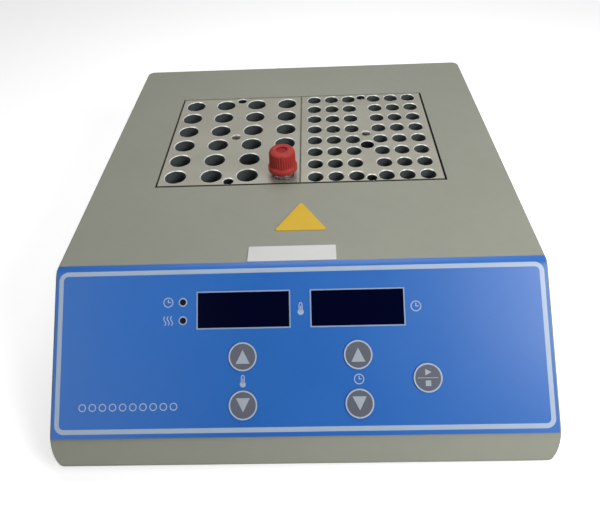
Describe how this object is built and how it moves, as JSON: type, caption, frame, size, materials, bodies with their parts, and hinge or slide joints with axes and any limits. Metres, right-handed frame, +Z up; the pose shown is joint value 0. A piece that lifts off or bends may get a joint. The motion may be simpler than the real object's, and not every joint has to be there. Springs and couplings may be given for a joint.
{
  "type": "dry bath incubator",
  "caption": "Low sheet-metal dry bath with a sloped control panel, two lift-out aluminium tube blocks in a heated well and a capped sample tube.",
  "frame": {"origin": "middle of the bounding box at the level that the feet stand on", "axes": "+Z up, -Y towards the sloped control panel, +X to the right of someone facing the panel"},
  "size_m": [0.217, 0.2636, 0.0836],
  "materials": {
    "housing_paint": "light grey powder coat, satin",
    "rear_paint": "light grey powder coat, satin",
    "zinc_sheet": "zinc-plated sheet, dull",
    "zinc_fastener": "zinc-plated, slightly worn",
    "foot_rubber": "matt black rubber",
    "overlay_print": "printed blue film, fine matt texture",
    "label_white": "white plastic plate, satin",
    "label_yellow": "yellow film, matt",
    "smoked_window": "dark tinted acrylic, glossy",
    "display_module": "moulded display module, satin",
    "lamp_lens": "dark tinted lens, glossy",
    "circuit_board": "green solder mask, satin",
    "component_black": "black moulding, matt",
    "key_grey": "printed grey key, matt",
    "block_aluminium": "bead-blasted anodised aluminium, matt",
    "heater_aluminium": "milled aluminium, satin",
    "polished_steel": "ground steel, bright",
    "heater_film": "silicone heater film, matt",
    "insulation_foam": "ceramic fibre board, matt",
    "relay_blue": "moulded relay case, satin",
    "terminal_green": "moulded terminal block, satin",
    "capacitor_sleeve": "shrink sleeve, satin",
    "lead_brown": "wire insulation, satin",
    "lead_white": "wire insulation, satin",
    "ribbon_grey": "flat cable insulation, satin",
    "plated_contact": "plated contact",
    "nylon": "natural nylon, satin",
    "fuse_glass": "clear glass with plated ends",
    "tube_clear": "clear moulded polypropylene, glossy",
    "seal_red": "silicone seal, matt",
    "cap_red": "moulded red cap, semi-gloss"
  },
  "bodies": {
    "housing": {"top_cover": "housing_paint", "base_plate": "zinc_sheet", "rear_panel": "rear_paint", "rubber_feet": "foot_rubber", "foot_screws": "zinc_fastener", "foot_nuts": "zinc_fastener", "cover_screws": "zinc_fastener", "cover_nuts": "zinc_fastener", "rear_screws": "zinc_fastener", "rear_nuts": "zinc_fastener", "name_plate": "label_white", "triangle_marker": "label_yellow", "graphic_overlay": "overlay_print", "temperature_window": "smoked_window", "timer_window": "smoked_window", "temperature_display": "display_module", "timer_display": "display_module", "indicator_lamps": "lamp_lens", "control_board": "circuit_board", "board_standoffs": "zinc_fastener", "board_screws": "zinc_fastener", "tact_switches": "component_black", "well_liner": "zinc_sheet", "insulation_wrap": "insulation_foam", "insulation_pad": "insulation_foam", "heater_plate": "heater_aluminium", "heater_mat": "heater_film", "heater_standoffs": "zinc_fastener", "heater_screws": "zinc_fastener", "locating_pins": "polished_steel", "temperature_probe": "polished_steel", "thermal_cutout": "component_black", "power_board": "circuit_board", "power_board_spacers": "nylon", "transformer": "component_black", "relay": "relay_blue", "terminal_block": "terminal_green", "filter_capacitor": "capacitor_sleeve", "mains_inlet": "component_black", "inlet_pins": "plated_contact", "inlet_screws": "zinc_fastener", "switch_body": "component_black", "mains_leads": "lead_brown", "heater_leads": "lead_white", "ribbon_cable": "ribbon_grey"},
    "left_block": {"left_block": "block_aluminium"},
    "right_block": {"right_block": "block_aluminium"},
    "sample_tube": {"sample_tube": "tube_clear"},
    "cap_seal": {"cap_liner": "seal_red"},
    "tube_cap": {"tube_cap": "cap_red"},
    "temp_up_key": {"temp_up_key": "key_grey"},
    "temp_down_key": {"temp_down_key": "key_grey"},
    "time_up_key": {"time_up_key": "key_grey"},
    "time_down_key": {"time_down_key": "key_grey"},
    "start_stop_key": {"start_stop_key": "key_grey"},
    "power_rocker": {"power_rocker": "component_black"},
    "fuse_drawer": {"fuse_drawer": "component_black", "fuse": "fuse_glass"}
  },
  "joints": [
    {"name": "left_block_lift", "type": "slide", "parent": "housing", "child": "left_block", "axis": [0, 0, 1], "range_m": [0, 0.06]},
    {"name": "right_block_lift", "type": "slide", "parent": "housing", "child": "right_block", "axis": [0, 0, 1], "range_m": [0, 0.06]},
    {"name": "tube_lift", "type": "slide", "parent": "left_block", "child": "sample_tube", "axis": [0, 0, 1], "range_m": [0, 0.05]},
    {"name": "cap_rise", "type": "slide", "parent": "sample_tube", "child": "cap_seal", "axis": [0, 0, 1], "range_m": [0, 0.006]},
    {"name": "cap_turn", "type": "hinge", "parent": "cap_seal", "child": "tube_cap", "pos_m": [-0.00893, -0.00169, 0.076], "axis": [0, 0, 1], "range_deg": [0, 720]},
    {"name": "temp_up_press", "type": "slide", "parent": "housing", "child": "temp_up_key", "axis": [0, 0.6947, -0.7193], "range_m": [0, 0.0005], "stiffness_N_per_m": 1200},
    {"name": "temp_down_press", "type": "slide", "parent": "housing", "child": "temp_down_key", "axis": [0, 0.6947, -0.7193], "range_m": [0, 0.0005], "stiffness_N_per_m": 1200},
    {"name": "time_up_press", "type": "slide", "parent": "housing", "child": "time_up_key", "axis": [0, 0.6947, -0.7193], "range_m": [0, 0.0005], "stiffness_N_per_m": 1200},
    {"name": "time_down_press", "type": "slide", "parent": "housing", "child": "time_down_key", "axis": [0, 0.6947, -0.7193], "range_m": [0, 0.0005], "stiffness_N_per_m": 1200},
    {"name": "start_stop_press", "type": "slide", "parent": "housing", "child": "start_stop_key", "axis": [0, 0.6947, -0.7193], "range_m": [0, 0.0005], "stiffness_N_per_m": 1200},
    {"name": "rocker_tilt", "type": "hinge", "parent": "housing", "child": "power_rocker", "pos_m": [0.018, 0.12231, 0.0389], "axis": [1, 0, 0], "range_deg": [-18, 0]},
    {"name": "drawer_slide", "type": "slide", "parent": "housing", "child": "fuse_drawer", "axis": [0, 1, 0], "range_m": [0, 0.018]}
  ],
  "couplings": [
    {"joint": "cap_turn", "follows": "cap_rise", "rad_per_m": 2094.4}
  ]
}
